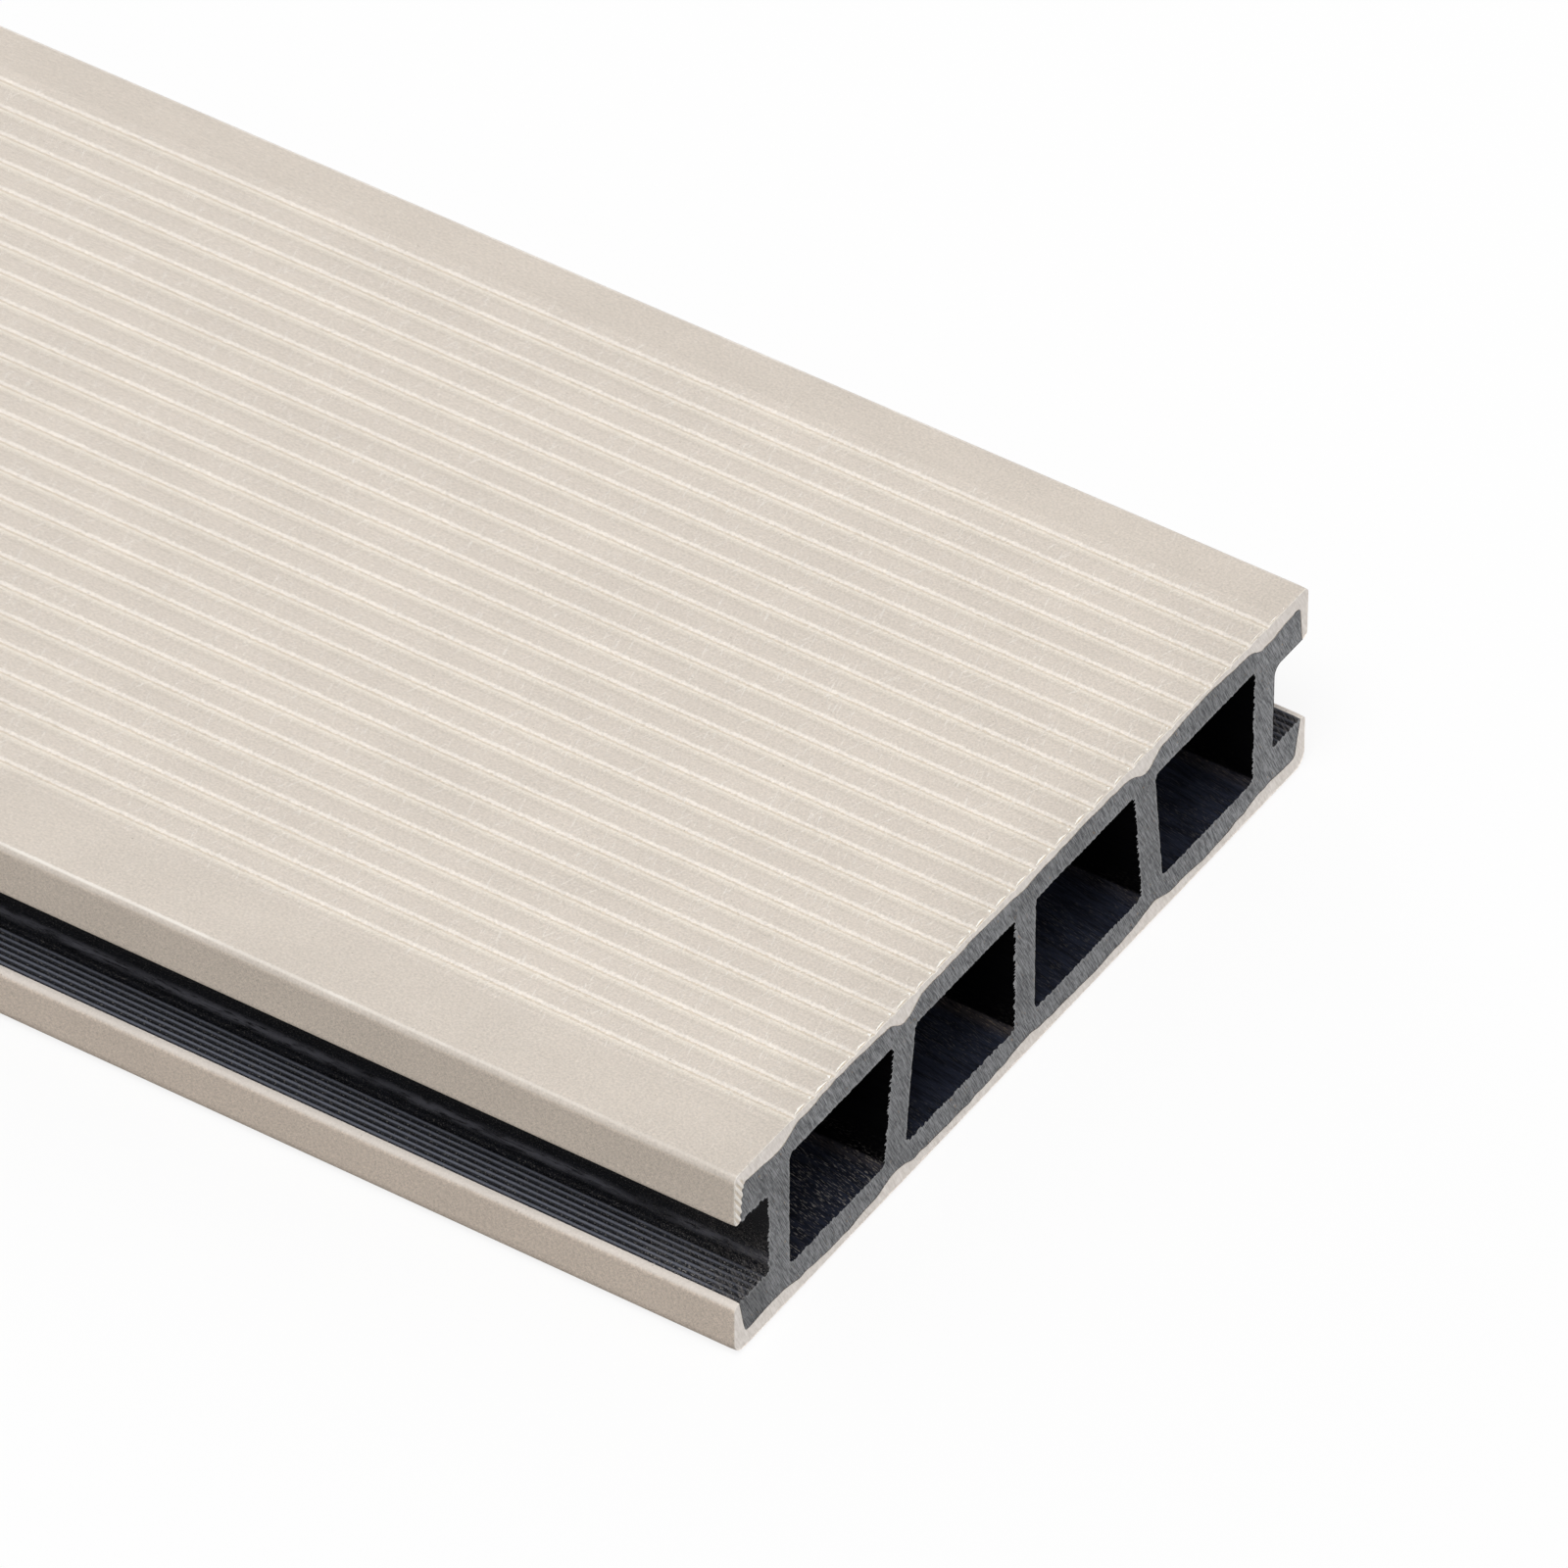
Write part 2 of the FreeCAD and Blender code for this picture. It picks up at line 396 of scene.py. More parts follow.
# %% Ridges of the cut
saw_angle = np.radians(-64.0)
saw_along = np.array([np.cos(saw_angle), np.sin(saw_angle)])
saw_across = np.array([-np.sin(saw_angle), np.cos(saw_angle)])
wave_pitch, wave_height, rough_height, saw_sink = 0.95, 0.08, 0.08, 0.22
leg_inside, leg_foot, leg_head = -67.5, 23.0, 31.4
rope_pitch, rope_lean, rope_height = 1.6, 1.6, 0.28


def saw_relief(across, up):
    """How far the cut stands out, in mm: waves across the strokes, bent and broken up by hills.

    On the thin leg of the front lip the blade leaves ridges like a rope's: a sine of the height, slanted by
    the place across.
    """
    along = across * saw_along[0] + up * saw_along[1]
    aside = across * saw_across[0] + up * saw_across[1]
    bend = 1.3 * hills(along / 3, aside / 2, 3)
    wave = 0.5 + 0.5 * np.sin(2 * np.pi * (aside / wave_pitch + bend))
    rough = hills(along / 1.6, aside / 0.35, 5)
    on_leg = smooth((leg_inside - across) / 0.5) * smooth((up - leg_foot) / 0.8)
    on_leg = on_leg * smooth((leg_head - up) / 1.2)
    rope = 0.5 + 0.5 * np.sin(2 * np.pi * (up + rope_lean * across) / rope_pitch)
    broken = wave_height * wave * hills(along / 4, aside / 4, 7)
    return broken + rough_height * rough + rope_height * on_leg * rope - saw_sink


sample = saw_relief(np.linspace(-60, 60, 999), np.full(999, 30.0))
print(f"relief along the top of the cut: {sample.min():.3f} to {sample.max():.3f} mm")

# %% Torn fuzz
tooth_pitch, tuft_pitch, chip_pitch = 0.24, 2.3, 0.42
clean_share = 0.2


def outward(loop):
    """Directions out of the material: the line between both neighbours, turned a quarter to the right."""
    tangent = unit(np.roll(loop, -1, axis=0)[:, :2] - np.roll(loop, 1, axis=0)[:, :2])
    return np.column_stack([tangent[:, 1], -tangent[:, 0]])


def fuzz_of(loop, height, seed):
    """Torn fuzz along a loop, in mm: fine teeth times coarse tufts, both hills, with only their tops kept.

    The blade leaves towards the front edge, so faces that look that way get the longest fuzz, and floors get
    less. The front clip groove's ceiling loses coarse chips, and the back clip groove is cut nearly clean.
    """
    step = np.linalg.norm(np.diff(loop[:, :2], axis=0, append=loop[:1, :2]), axis=1)
    length, aside = np.cumsum(step), np.zeros(len(loop))
    tufts = 0.4 + 0.6 * hills(length / tuft_pitch, aside, seed + 1)
    teeth = hills(length / tooth_pitch, aside, seed) * tufts
    chips = smooth((hills(length / chip_pitch, aside, seed + 2) - 0.38) / 0.24)
    facing = outward(loop)
    under_lip = (loop[:, 0] < -side_web_outside - 0.5) * (facing[:, 1] < -0.9)
    share = 0.2 + 0.8 * np.clip(-facing[:, 0], 0, 1) + 0.45 * np.clip(facing[:, 1], 0, 1)
    share = share * np.where(loop[:, 0] > side_web_outside - 0.1, clean_share, 1.0)
    return height * (share * smooth((teeth - 0.18) / 0.36) + 1.2 * under_lip * chips)


print("a chamber's fuzz is up to", round(fuzz_of(chambers[3], 0.6, 24).max(), 2), "mm long")

# %% [markdown]
# ## Carrying the section along the board
# The loops are carried along the length in a few rings: four near each end, for the fuzz and for a hair-fine
# worn edge, and one long step between. An Array or a Curve with a bevel would do the long run, but not the
# ends. The ends are closed by triangles whose inner points lie in rows along the saw's strokes.

# %% Rings along the board
cut_inset, worn_edge = 0.18, 0.12
ring_back = np.array([0.0, 0.08, 0.24, 1.2])
ring_fuzz = np.array([0.8, 1.0, 0.35, 0.0])
ring_worn = np.array([1.0, 0.8, 0.5, 0.0])
edge_glow = np.array([0.9, 0.7, 0.0, 0.0])


def rings_of(loop, fuzz):
    """Points (along, across, up) of a loop carried along the board, ring after ring from end to end."""
    shift = ring_fuzz[:, None] * fuzz - ring_worn[:, None] * worn_edge * loop[:, 2]
    section = loop[None, :, :2] + shift[:, :, None] * outward(loop)
    section = np.clip(section, [-half_width, 0], [half_width, board_height])
    along = np.repeat(half_length - cut_inset - ring_back[:, None], len(loop), axis=1)
    along[0] += saw_relief(section[0, :, 0], section[0, :, 1])
    near = np.dstack([along, section])
    return np.concatenate([near * [-1, 1, 1], near[::-1]])


def ring_ids(loops, starts, ring):
    """Numbers of the points of one ring, loop after loop."""
    counts = [len(loop) for loop in loops]
    return np.concatenate([start + ring * count + np.arange(count) for count, start in zip(counts, starts)])


def side_faces(rings, count, base):
    """Quads between neighbouring rings and neighbouring points, facing out of the material."""
    ring, point = np.meshgrid(np.arange(rings - 1), np.arange(count), indexing="ij")
    here = base + ring * count + point
    beside = base + ring * count + (point + 1) % count
    return np.stack([here, beside, beside + count, here + count], axis=-1).reshape(-1, 4)


print(len(ring_back) * 2, "rings, the last", ring_back[-1], "mm from the cut")

# %% Points on the cut
def stroke_points(low, high, close=0.22, apart=0.8):
    """A lattice over a box, in rows along the saw's strokes: close across them, further apart along them."""
    size = np.linalg.norm(high - low) / 2
    u, v = np.meshgrid(np.arange(-size, size, apart), np.arange(-size, size, close), indexing="ij")
    v = v + close / 2 * (np.arange(len(u)) % 2)[:, None]
    points = (low + high) / 2 + u[..., None] * saw_along + v[..., None] * saw_across
    points = points.reshape(-1, 2)
    return points[np.all((points > low) & (points < high), axis=1)]


def cell(points, size):
    """A whole number for the square cell that each point lies in."""
    column, row = np.floor(points / size).astype(int).T
    return column * 100003 + row


def inside(points, loop):
    """True for points inside a loop: a level line to their right crosses it an odd number of times."""
    start, finish = loop, np.roll(loop, -1, axis=0)
    spans = (start[:, 1] > points[:, 1:]) != (finish[:, 1] > points[:, 1:])
    slope = (finish[:, 0] - start[:, 0]) / (finish[:, 1] - start[:, 1] + 1e-12)
    crossing = start[:, 0] + (points[:, 1:] - start[:, 1]) * slope
    return np.sum(spans & (crossing > points[:, :1]), axis=1) % 2 == 1


print("a square of 10 mm has", len(stroke_points(np.zeros(2), np.full(2, 10.0))), "points along the strokes")

# %% Closing the ends
crowded_cell = 0.12


def loop_edges(count, first):
    """Pairs of neighbours round a closed loop whose points are numbered from first."""
    here = np.arange(count)
    return first + np.column_stack([here, (here + 1) % count])


def end_faces(loops):
    """Triangles inside the first loop and outside the others, and the inner points that they use."""
    rim = np.vstack(loops)
    ways = np.array([(1, 1), (1, -1), (-1, 1), (-1, -1)])
    crowded = cell((rim[:, None] + crowded_cell / 2 * ways).reshape(-1, 2), crowded_cell)
    inner = stroke_points(loops[0].min(axis=0), loops[0].max(axis=0))
    inner = inner[~np.isin(cell(inner, crowded_cell), crowded)]
    counts = [len(loop) for loop in loops]
    starts = np.cumsum([0] + counts)
    edges = np.vstack([loop_edges(count, first) for count, first in zip(counts, starts)])
    points = np.vstack([rim, inner])
    found = delaunay_2d_cdt(points.tolist(), edges.tolist(), [], 1, 1e-7)
    origin = np.array([ids[0] for ids in found[3]])
    faces = origin[np.array(found[2])]
    for loop in loops[1:]:
        faces = faces[~inside(points[faces].mean(axis=1), loop)]
    used, compact = np.unique(faces[faces >= len(rim)], return_inverse=True)
    faces[faces >= len(rim)] = len(rim) + compact
    return faces, points[used]


print("a chamber alone would be closed by", len(end_faces([chambers[0][::-1, :2]])[0]), "triangles")

# %% [markdown]
# ## Nodes as sums
# A finish is arithmetic on places: how far from a groove, how far along a stroke. Wiring that by hand takes
# dozens of lines of node calls. One small class wraps a socket instead, so that a sum of two sockets adds
# the node that does it, and a single method adds any other kind of node.

# %% A socket that can be added and multiplied
class Wire:
    """A socket of a material's nodes. Sums and products of wires and numbers add Math nodes."""

    def __init__(self, tree, socket=None):
        self.tree = tree
        self.socket = socket

    def node(self, kind, settings=None, sockets=None, out=0):
        """A new node: its settings first, then a value or a wire for each socket. Gives one output."""
        made = self.tree.nodes.new(kind)
        for name, value in (settings or {}).items():
            if name == "stops":
                ramp = made.color_ramp.elements
                ramp[0].position, ramp[0].color = value[0]
                ramp[1].position, ramp[1].color = value[-1]
                for position, tint in value[1:-1]:
                    ramp.new(position).color = tint
            else:
                setattr(made, name, value)
        for name, value in (sockets or {}).items():
            if isinstance(value, Wire):
                self.tree.links.new(value.socket, made.inputs[name])
            else:
                made.inputs[name].default_value = value
        return Wire(self.tree, made.outputs[out]) if len(made.outputs) else None

    def math(self, operation, *values):
        """A Math node on the given values."""
        return self.node("ShaderNodeMath", {"operation": operation}, dict(enumerate(values)))

    def __add__(self, other):
        return self.math("ADD", self, other)

    def __sub__(self, other):
        return self.math("SUBTRACT", self, other)

    def __rsub__(self, other):
        return self.math("SUBTRACT", other, self)

    def __mul__(self, other):
        return self.math("MULTIPLY", self, other)

    def __truediv__(self, other):
        return self.math("DIVIDE", self, other)

    def __rtruediv__(self, other):
        return self.math("DIVIDE", other, self)

    __radd__ = __add__
    __rmul__ = __mul__


print("reflected operators", [name for name in vars(Wire) if name.startswith("__r")])

# %% Colours and grains
def colour(red, green, blue):
    """A colour as it is read off a screen, 0 to 255, made linear for the shader: the 2.4 power curve."""
    screen = np.array([red, green, blue]) / 255
    linear = np.where(screen > 0.04045, ((screen + 0.055) / 1.055) ** 2.4, screen / 12.92)
    return (*linear.tolist(), 1.0)


def blended(factor, below, above):
    """A Mix node on colours: below where the factor is 0, above where it is 1."""
    return factor.node("ShaderNodeMix", {"data_type": "RGBA"}, {0: factor, 6: below, 7: above}, 2)


def toned(tone, base):
    """A colour made lighter or darker by a tone near 1."""
    settings = {"data_type": "RGBA", "blend_type": "MULTIPLY"}
    return tone.node("ShaderNodeMix", settings, {0: 1.0, 6: base, 7: tone}, 2)


def between(value, low, high):
    """A smooth step from 0 where the value is low to 1 where it is high."""
    sockets = {"Value": value, "From Min": low, "From Max": high}
    return value.node("ShaderNodeMapRange", {"interpolation_type": "SMOOTHSTEP"}, sockets)


def grain(place, size, turn=(0, 0, 0), detail=2.0, shift=0.0):
    """Noise with grains of a size in mm along, across and up, turned about these axes and shifted."""
    scale = [side * MM for side in size]
    sockets = {"Vector": place, "Rotation": turn, "Scale": scale, "Location": [shift] * 3}
    turned = place.node("ShaderNodeMapping", {"vector_type": "TEXTURE"}, sockets)
    sockets = {"Vector": turned, "Scale": 1.0, "Detail": detail, "Roughness": 0.6}
    return place.node("ShaderNodeTexNoise", {}, sockets)


print("mid grey is", np.round(colour(118, 119, 120)[:3], 3))

# %% A new finish
def new_finish(name):
    """A new material with empty nodes, and its Object coordinates as a wire."""
    material = bpy.data.materials.new(name)
    material.use_nodes = True
    material.node_tree.nodes.clear()
    place = Wire(material.node_tree).node("ShaderNodeTexCoord", {}, {}, 3)
    return material, place


def measures(place):
    """The place along, across and up the board, in mm, as three wires."""
    axes = place.node("ShaderNodeSeparateXYZ", {}, {0: place}).socket.node.outputs
    return [Wire(place.tree, axis) / MM for axis in axes]


def unsigned(wire):
    """A place without its sign: the distance from the middle of the board."""
    return wire.math("ABSOLUTE", wire)


def rim_of(place):
    """1 at the sawn edges of a layer's skin, and 0 a little way in from them: an attribute of the mesh."""
    return place.node("ShaderNodeAttribute", {"attribute_name": "rim"}, {}, 2)


def surface(place, base, roughness, height, depth, specular=0.3):
    """The finish itself: a colour, a roughness, and a height as a bump of the given depth in mm."""
    bump = place.node("ShaderNodeBump", {}, {"Strength": 1.0, "Distance": depth * MM, "Height": height})
    shader = place.node("ShaderNodeBsdfPrincipled", {}, {
        "Base Color": base, "Roughness": roughness, "Normal": bump, "Specular IOR Level": specular,
    })
    place.node("ShaderNodeOutputMaterial", {}, {"Surface": shader})
    print("finish of", len(place.tree.nodes), "nodes")


print("finishes read Object coordinates, in steps of", MM, "m")

# %% [markdown]
# ## The brushed cap
# The walking face is brushed, so it is matte, with a sandy grain and faint scuffs that cross the board in
# two directions. The brush doesn't reach into the grooves, where the cap keeps its creamier skin. A painted
# mask would have to be unwrapped. The distance from the nearest groove is a sum on the place across the
# board, and a colour ramp over one pitch tells near rim, near wall, corner and far wall apart. The darker
# near rim and the tan corner are painted shade.

# %% Places on the caps
brushed, place = new_finish("brushed_cap")
along, across, up = measures(place)
out_across, from_cut = unsigned(across), half_length - unsigned(along)
ragged = grain(place, (0.5, 0.4, 0.4), detail=3) - 0.5
turns = (across - first_groove + 0.7 * ragged) / groove_pitch + 0.5
phase = turns.math("FRACT", turns)
in_zone = between(turns, 0.0, 0.02) * between(turns, groove_count, groove_count - 0.02)
on_top = between(up, board_height - 0.9, board_height - 0.6)
lower_top = between(up, clip_floor - 0.7, clip_floor - 0.2) * between(up, clip_floor + 2, clip_floor + 1)
print("the grooved zone starts at", round(first_groove - groove_pitch / 2, 2), "mm")

# %% Colours of a groove
# The darker band on the plateau just in front of each groove and the tan line along the groove's bottom are
# painted shade.
plateau, near_rim_shade, near_fade = colour(217, 207, 196), colour(211, 201, 189), colour(225, 216, 203)
near_wall, corner_shade_tan, far_wall = colour(238, 229, 217), colour(217, 204, 187), colour(238, 230, 221)
groove_stops = [
    (-1.95, plateau), (-1.6, near_rim_shade), (-1.3, plateau), (-0.95, near_fade), (-0.6, near_wall),
    (-0.34, near_wall), (-0.12, corner_shade_tan), (0.02, corner_shade_tan), (0.22, far_wall), (0.5, far_wall),
    (0.68, plateau),
]
ramp_stops = [(0.5 + distance / groove_pitch, tint) for distance, tint in groove_stops]
groove_colours = place.node("ShaderNodeValToRGB", {"stops": ramp_stops}, {0: phase})
print("a groove's colours change at", [distance for distance, tint in groove_stops], "mm")

# %% Sand, hairs and scuffs
upper_face, lower_face, lip_top = colour(216, 203, 189), colour(223, 208, 193), colour(229, 220, 211)
margin, scuff_white = colour(213, 203, 192), colour(244, 239, 232)
sand = grain(place, (0.36, 0.36, 0.36), detail=3)
hairs = [
    grain(place, (0.2, 0.3, 0.7), (0, turn, 0), detail=2, shift=shift)
    for turn, shift in ((0.8, 23.0), (-0.5, 29.0))
]
cloud = grain(place, (16, 10, 10), detail=3, shift=3.0)
scuffs = [
    between(grain(place, (0.26, 3.0, 1.2), (0, 0, turn), detail=2, shift=shift), 0.61, 0.72)
    for turn, shift in ((0.25, 7.0), (-0.4, 19.0))
]
scuff = (scuffs[0] + scuffs[1]) * on_top * (0.3 + 0.7 * in_zone)
lip_face = blended(between(up, clip_ceiling, clip_floor), upper_face, lower_face)
cap_colour = blended(lower_top, blended(on_top, lip_face, margin), lip_top)
cap_colour = blended(in_zone * on_top, cap_colour, groove_colours)
cap_colour = blended(scuff * 0.5, cap_colour, scuff_white)
print("scuffs in", len(scuffs), "directions")

# %% Tone, specks and painted edge highlights
# The lips have a finer, hairy grain. Near the cut the top is a little darker, and its long edges carry a
# painted highlight, uneven and weaker near the cut.
speck_brown, highlight_and_cut_white = colour(125, 108, 92), colour(246, 240, 232)
hairy = (hairs[0] + hairs[1]) * 0.65 - 0.15
grit = hairy + (sand - hairy) * on_top
tone = (grit - 0.5) * (1.2 - 0.57 * on_top - 0.85 * lower_top) + cloud * 0.16 + 0.905
near_saw = between(from_cut, 16, 1)
cap_colour = toned(tone - 0.06 * near_saw * near_saw * on_top, cap_colour)
speck = between(grain(place, (0.5, 0.4, 0.4), detail=0, shift=11.0), 0.84, 0.9)
cap_colour = blended(speck * 0.5, cap_colour, speck_brown)
# The pale band on the rounded long top edges is a painted highlight.
edge_up = between(up, board_height - 0.32, board_height - 0.14)
edge_highlight_band = between(out_across + 0.5 * ragged, half_width - 1.0, half_width - 0.8) * edge_up
edge_highlight_share = (0.45 + 0.35 * between(cloud, 0.42, 0.58)) * (0.4 + 0.6 * between(from_cut, 20, 70))
cut_line = between(rim_of(place), 0.1, 0.7) * between(sand, 0.3, 0.5)
cap_colour = blended(edge_highlight_band * edge_highlight_share + cut_line * 0.9, cap_colour, highlight_and_cut_white)
surface(place, cap_colour, roughness=sand * 0.16 + 0.58, height=sand + scuff * 0.3, depth=0.06)

# %% [markdown]
# ## The sawn faces
# The saw whitens the core to a mid grey with slanted strokes and a few tan wood particles, and leaves the
# caps a chalky pinkish grey. Strokes could be a Wave texture, but a wave repeats. Noise that is stretched
# along the saw's direction gives strokes of uneven length. The core is darker on the front lips and a little
# paler towards the back edge.

# %% Finish of the sawn core
strokes_way = (saw_angle, 0, 0)
core_dark, core_pale, core_pit = colour(70, 71, 74), colour(148, 149, 151), colour(45, 45, 47)
wood_tan, crumb_white, rim_grey = colour(160, 134, 106), colour(190, 188, 184), colour(178, 178, 179)
sawn_core, place = new_finish("sawn_core")
across, up = measures(place)[1:]
stroke = grain(place, (1, 2.4, 0.13), strokes_way, detail=2)
mottle = grain(place, (0.6, 0.6, 0.6), detail=3, shift=5.0)
cloud = grain(place, (12, 12, 12), detail=2, shift=21.0)
particle = between(grain(place, (0.5, 0.8, 0.45), strokes_way, detail=1, shift=9.0), 0.70, 0.80)
pit = between(grain(place, (0.5, 0.6, 0.6), detail=0, shift=13.0), 0.19, 0.11)
crumb = between(grain(place, (0.3, 0.3, 0.3), detail=0, shift=17.0), 0.75, 0.85)
on_front_lip = between(across, 1.3 - side_web_outside, -1.2 - side_web_outside)
front_shade = on_front_lip * (0.1 + 0.17 * between(up, clip_floor + 5.2, clip_floor + 0.2))
back_light = 0.1 * between(across, 40.0, 62.0)
sawn_colour = blended(between(stroke * 0.78 + mottle * 0.22, 0.32, 0.68), core_dark, core_pale)
sawn_colour = toned(cloud * 0.8 + 0.6 - (front_shade - back_light), sawn_colour)
sawn_colour = blended(particle * 0.6, sawn_colour, wood_tan)
sawn_colour = blended(pit * 0.8, sawn_colour, core_pit)
sawn_colour = blended(crumb * 0.6, sawn_colour, crumb_white)
sawn_colour = blended(rim_of(place) * mottle * 0.8, sawn_colour, rim_grey)
surface(place, sawn_colour, roughness=0.75, height=stroke + mottle * 0.5, depth=0.16)

# %% Finish of the sawn caps
chalk_dark, chalk_pale = colour(217, 209, 201), colour(241, 234, 228)
rope_valley_shade, rope_crest_highlight, rim_cream = colour(196, 182, 160), colour(250, 245, 236), colour(248, 242, 233)
sawn_cap, place = new_finish("sawn_cap")
across, up = measures(place)[1:]
stroke = grain(place, (1, 2.2, 0.28), strokes_way, detail=3)
mottle = grain(place, (1.4, 1.4, 1.4), detail=2, shift=5.0)
on_leg = between(across, leg_inside + 0.1, leg_inside - 0.4) * between(up, leg_foot - 0.1, leg_foot + 0.5)
on_leg = on_leg * between(up, leg_head - 0.2, leg_head - 1.2)
rope = across.math("SINE", (up + across * rope_lean) * (2 * np.pi / rope_pitch))
sawn_colour = blended(between(stroke * 0.6 + mottle * 0.4, 0.3, 0.7), chalk_dark, chalk_pale)
# The pale crests and tan valleys of the rope ridges are painted highlight and shade.
sawn_colour = blended(on_leg * between(rope, 0.2, -0.6) * 0.6, sawn_colour, rope_valley_shade)
sawn_colour = blended(on_leg * between(rope, 0.1, 0.7) * 0.7, sawn_colour, rope_crest_highlight)
sawn_colour = blended(rim_of(place) * 0.15, sawn_colour, rim_cream)
surface(place, sawn_colour, roughness=0.75, height=stroke, depth=0.10)

# %% [markdown]
# ## The dark skin of the core
# Inside the clip grooves and the chambers the core keeps the skin of the die: nearly black and a little
# bluish. In the clip grooves the rib tops carry a painted highlight, a soft painted reflection runs along
# the foot of the wall, the wall under the upper lip is painted black as shadow, and saw dust has settled low
# down and near the cut, where it is also swiped. In the chambers the skin is duller, and its walls are
# painted near black as shade, with wood fibres drawn out on the floors and swept into their back corners.
# Dust and fibres as geometry would be thousands of grains, so here they are the tops of noises.

# %% Finish of the clip grooves' skin
def drawn_skin(place, dark, pale):
    """The die's skin, drawn out along the board between two colours. Gives its grain, patches and colour."""
    drawn = grain(place, (4, 0.5, 0.5), (0, 0, np.radians(-8)), detail=3, shift=8.0)
    patch = grain(place, (12, 5, 5), detail=2, shift=4.0)
    return drawn, patch, blended(between(drawn, 0.3, 0.7), dark, pale)


rib_highlight_grey, reflection_grey, shadow_black = colour(102, 105, 116), colour(112, 112, 120), colour(5, 5, 7)
clip_skin, place = new_finish("clip_groove_skin")
along, across, up = measures(place)
out_across, from_cut, over_floor = unsigned(across), half_length - unsigned(along), up - clip_floor
drawn, patch, skin_colour = drawn_skin(place, colour(12, 13, 17), colour(28, 30, 36))
on_wall = between(out_across, side_web_outside + 0.5, side_web_outside + 0.2)
# The paler rib tops are a painted highlight, the pale band along the foot of the wall is a painted
# reflection, and the black upper wall is a painted shadow.
rib_top_highlight = (1 - on_wall) * between(over_floor, 0.13, 0.33) * between(over_floor, 1.7, 0.7)
reflection_streak = on_wall * between(over_floor, 0.8, 2.1) * between(over_floor, 3.6, 2.3)
reflection_streak = reflection_streak * between(drawn, 0.3, 0.55) * between(patch, 0.2, 0.6)
at_cut = between(from_cut, 9, 1)
skin_colour = blended(on_wall * between(over_floor, 2.7, 5.2) * 0.75, skin_colour, shadow_black)
skin_colour = blended(rib_top_highlight * (1 - 0.6 * at_cut), skin_colour, rib_highlight_grey)
skin_colour = blended(reflection_streak, skin_colour, reflection_grey)
print("ribs and a streak in", len(place.tree.nodes), "nodes")

# %% Dust in the clip grooves
swipe_grey, dust_grey = colour(120, 116, 114), colour(160, 156, 152)
swipe = between(grain(place, (3.0, 0.3, 0.3), (0, 0.45, -0.45), detail=2, shift=12.0), 0.44, 0.64)
dust = between(grain(place, (0.22, 0.2, 0.2), detail=1, shift=6.0), 0.57, 0.72)
low_down = between(up, clip_ceiling - 6, clip_ceiling - 12)
near_cut = between(from_cut, 26, 4) * low_down
settled = between(up, clip_ceiling - 4, clip_ceiling - 10)
mostly_front = 0.2 + 0.8 * between(across, 10, -10)
dust_share = (0.08 + 0.34 * settled + 0.32 * near_cut) * mostly_front
skin_colour = blended(swipe * near_cut * (0.28 + 0.2 * at_cut), skin_colour, swipe_grey)
skin_colour = blended(dust * dust_share, skin_colour, dust_grey)
surface(place, skin_colour, roughness=0.5, height=patch + dust, depth=0.07, specular=0.12)

# %% Finish of the chambers' skin
shade_black_wall, fleck_grey, swept_brown = colour(2, 2, 3), colour(134, 130, 126), colour(104, 94, 85)
chamber_skin, place = new_finish("chamber_skin")
across, up = measures(place)[1:]
drawn, patch, skin_colour = drawn_skin(place, colour(20, 22, 30), colour(40, 44, 57))
on_floor = between(up, chamber_floor + 0.7, chamber_floor + 0.3)
on_low_wall = (1 - on_floor) * between(up, chamber_floor + 6, chamber_floor + 1)
in_front = between(across, -30.0, -34.0)
fleck = between(grain(place, (1.2, 0.18, 0.18), (0, 0, np.radians(-15)), detail=2, shift=2.0), 0.55, 0.65)
fleck_share = (on_floor + 0.5 * on_low_wall) * fleck * between(patch, 0.3, 0.6)
swept_shares = {
    -inner_web_low - inner_web_half: 0.6, -centre_web_half: 1.0,
    inner_web_low - inner_web_half: 0.35, side_web_inside: 0.5,
}
corner_bands = [
    between(across, corner - 2.4, corner - 0.4) * between(across, corner + 0.6, corner + 0.3) * share
    for corner, share in swept_shares.items()
]
swept = sum(corner_bands[1:], corner_bands[0]) * on_floor
# The chamber walls are painted near black as shade; the floors keep the skin's colour.
skin_colour = blended(on_floor, shade_black_wall, skin_colour)
skin_colour = blended(fleck_share * (0.2 + 0.75 * in_front), skin_colour, fleck_grey)
skin_colour = blended(swept * (0.3 + fleck * 0.7) * between(drawn, 0.3, 0.55), skin_colour, swept_brown)
surface(place, skin_colour, roughness=0.6, height=fleck * on_floor + patch, depth=0.07, specular=0.05)

# %% [markdown]
# ## The three layers
# On the real board the layers are bonded, and each shows its own skin and its own cut. Three Booleans of one
# block would give the same parting, but no fuzz. So every layer takes the place of its plain solid, and its
# mesh is put together from arrays: the rings of its loops, then the inner points of both ends. Side faces
# wear the skin, and end faces the cut.

# %% A mesh with its finishes
sharp_turn = np.radians(38)


def add_piece(name, points, faces, finishes, finish_index, rim):
    """A mesh object from points in mm, with a finish for each face, and sharp where faces turn sharply."""
    mesh = bpy.data.meshes.new(name)
    mesh.from_pydata((points * MM).tolist(), [], faces)
    for material in finishes:
        mesh.materials.append(material)
    mesh.polygons.foreach_set("material_index", finish_index)
    mesh.attributes.new("rim", "FLOAT", "POINT").data.foreach_set("value", rim)
    mesh.shade_smooth()
    mesh.set_sharp_from_angle(angle=sharp_turn)
    mesh.validate()
    print(f"{name}: {len(points)} points, {len(faces)} faces")
    return placed(name, mesh)


